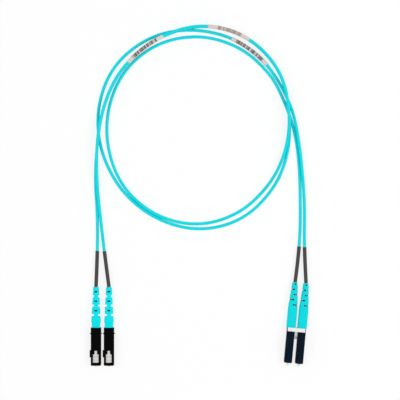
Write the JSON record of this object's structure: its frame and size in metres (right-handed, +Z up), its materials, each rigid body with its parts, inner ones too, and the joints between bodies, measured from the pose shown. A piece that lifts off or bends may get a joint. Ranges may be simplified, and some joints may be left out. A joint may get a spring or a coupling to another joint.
{
  "type": "duplex fibre patch cord",
  "caption": "Coiled duplex fibre patch cord with paired latched small square plugs in a clip at one end and paired push-pull plugs at the other, strain-relief boots and wrapped labels.",
  "frame": {"origin": "centre of the plugs' footprint, on the surface the cord lies on", "axes": "+X from the push-pull pair across to the latched pair, +Y from the plugs up to the coil, +Z up, latches up"},
  "size_m": [0.1236, 0.1928, 0.0079],
  "materials": {
    "plug_shell": "satin moulded",
    "push_pull_shell": "fine matt moulded",
    "plug_frame": "satin moulded",
    "ferrule_ceramic": "polished",
    "metal_inner": "turned",
    "spring_wire": "drawn wire",
    "crimp_metal": "nickel plated",
    "fibre_buffer": "smooth",
    "boot_aqua": "smooth satin",
    "cable_aqua": "smooth satin jacket",
    "sleeve_grey": "matt",
    "clip_white": "satin moulded",
    "label_paper": "laminated label film"
  },
  "bodies": {
    "cord": {"mu_left_frame": "plug_frame", "mu_left_spring": "spring_wire", "mu_left_crimp_body": "metal_inner", "mu_left_crimp_ring": "crimp_metal", "mu_left_buffered_fibre": "fibre_buffer", "mu_left_inner_tube": "sleeve_grey", "mu_left_boot": "boot_aqua", "mu_left_sleeve": "sleeve_grey", "mu_right_frame": "plug_frame", "mu_right_spring": "spring_wire", "mu_right_crimp_body": "metal_inner", "mu_right_crimp_ring": "crimp_metal", "mu_right_buffered_fibre": "fibre_buffer", "mu_right_inner_tube": "sleeve_grey", "mu_right_boot": "boot_aqua", "mu_right_sleeve": "sleeve_grey", "lc_left_housing": "plug_shell", "lc_left_rear_body": "plug_shell", "lc_left_spring": "spring_wire", "lc_left_crimp_body": "metal_inner", "lc_left_crimp_ring": "crimp_metal", "lc_left_buffered_fibre": "fibre_buffer", "lc_left_inner_tube": "sleeve_grey", "lc_left_boot": "boot_aqua", "lc_left_sleeve": "sleeve_grey", "lc_right_housing": "plug_shell", "lc_right_rear_body": "plug_shell", "lc_right_spring": "spring_wire", "lc_right_crimp_body": "metal_inner", "lc_right_crimp_ring": "crimp_metal", "lc_right_buffered_fibre": "fibre_buffer", "lc_right_inner_tube": "sleeve_grey", "lc_right_boot": "boot_aqua", "lc_right_sleeve": "sleeve_grey", "lc_clip": "clip_white", "strand_a": "cable_aqua", "strand_b": "cable_aqua", "label_near_plug": "label_paper", "label_top": "label_paper", "label_far_plug": "label_paper"},
    "lc_left_latch_lever": {"lc_left_latch": "plug_shell"},
    "lc_left_trigger_lever": {"lc_left_trigger": "plug_shell"},
    "lc_left_ferrule_train": {"lc_left_ferrule": "ferrule_ceramic", "lc_left_ferrule_holder": "metal_inner"},
    "mu_left_ferrule_train": {"mu_left_ferrule": "ferrule_ceramic", "mu_left_ferrule_holder": "metal_inner"},
    "mu_left_coupling_sleeve": {"mu_left_housing": "push_pull_shell"},
    "lc_right_latch_lever": {"lc_right_latch": "plug_shell"},
    "lc_right_trigger_lever": {"lc_right_trigger": "plug_shell"},
    "lc_right_ferrule_train": {"lc_right_ferrule": "ferrule_ceramic", "lc_right_ferrule_holder": "metal_inner"},
    "mu_right_ferrule_train": {"mu_right_ferrule": "ferrule_ceramic", "mu_right_ferrule_holder": "metal_inner"},
    "mu_right_coupling_sleeve": {"mu_right_housing": "push_pull_shell"}
  },
  "joints": [
    {"name": "lc_left_trigger_press", "type": "hinge", "parent": "cord", "child": "lc_left_trigger_lever", "pos_m": [0.05145, -0.00473, 0.00497], "axis": [0.9959, -0.0906, 0], "range_deg": [0, 8], "stiffness_Nm_per_rad": 0.0004},
    {"name": "lc_left_latch_flex", "type": "hinge", "parent": "cord", "child": "lc_left_latch_lever", "pos_m": [0.05009, -0.01966, 0.00497], "axis": [-0.9959, 0.0906, 0], "range_deg": [0, 8], "stiffness_Nm_per_rad": 0.0004},
    {"name": "lc_left_ferrule_push", "type": "slide", "parent": "cord", "child": "lc_left_ferrule_train", "axis": [0.0906, 0.9959, 0], "range_m": [0, 0.001], "stiffness_N_per_m": 800, "deforming": ["lc_left_spring"]},
    {"name": "mu_left_ferrule_push", "type": "slide", "parent": "cord", "child": "mu_left_ferrule_train", "axis": [0, 1, 0], "range_m": [0, 0.001], "stiffness_N_per_m": 800, "deforming": ["mu_left_spring"]},
    {"name": "mu_left_unlock_slide", "type": "slide", "parent": "cord", "child": "mu_left_coupling_sleeve", "axis": [0, 1, 0], "range_m": [0, 0.0015]},
    {"name": "lc_right_trigger_press", "type": "hinge", "parent": "cord", "child": "lc_right_trigger_lever", "pos_m": [0.05767, -0.00529, 0.00497], "axis": [0.9959, -0.0906, 0], "range_deg": [0, 8], "stiffness_Nm_per_rad": 0.0004},
    {"name": "lc_right_latch_flex", "type": "hinge", "parent": "cord", "child": "lc_right_latch_lever", "pos_m": [0.05631, -0.02023, 0.00497], "axis": [-0.9959, 0.0906, 0], "range_deg": [0, 8], "stiffness_Nm_per_rad": 0.0004},
    {"name": "lc_right_ferrule_push", "type": "slide", "parent": "cord", "child": "lc_right_ferrule_train", "axis": [0.0906, 0.9959, 0], "range_m": [0, 0.001], "stiffness_N_per_m": 800, "deforming": ["lc_right_spring"]},
    {"name": "mu_right_ferrule_push", "type": "slide", "parent": "cord", "child": "mu_right_ferrule_train", "axis": [0, 1, 0], "range_m": [0, 0.001], "stiffness_N_per_m": 800, "deforming": ["mu_right_spring"]},
    {"name": "mu_right_unlock_slide", "type": "slide", "parent": "cord", "child": "mu_right_coupling_sleeve", "axis": [0, 1, 0], "range_m": [0, 0.0015]}
  ],
  "couplings": [
    {"joint": "lc_left_latch_flex", "follows": "lc_left_trigger_press", "ratio": 1},
    {"joint": "lc_right_latch_flex", "follows": "lc_right_trigger_press", "ratio": 1}
  ]
}
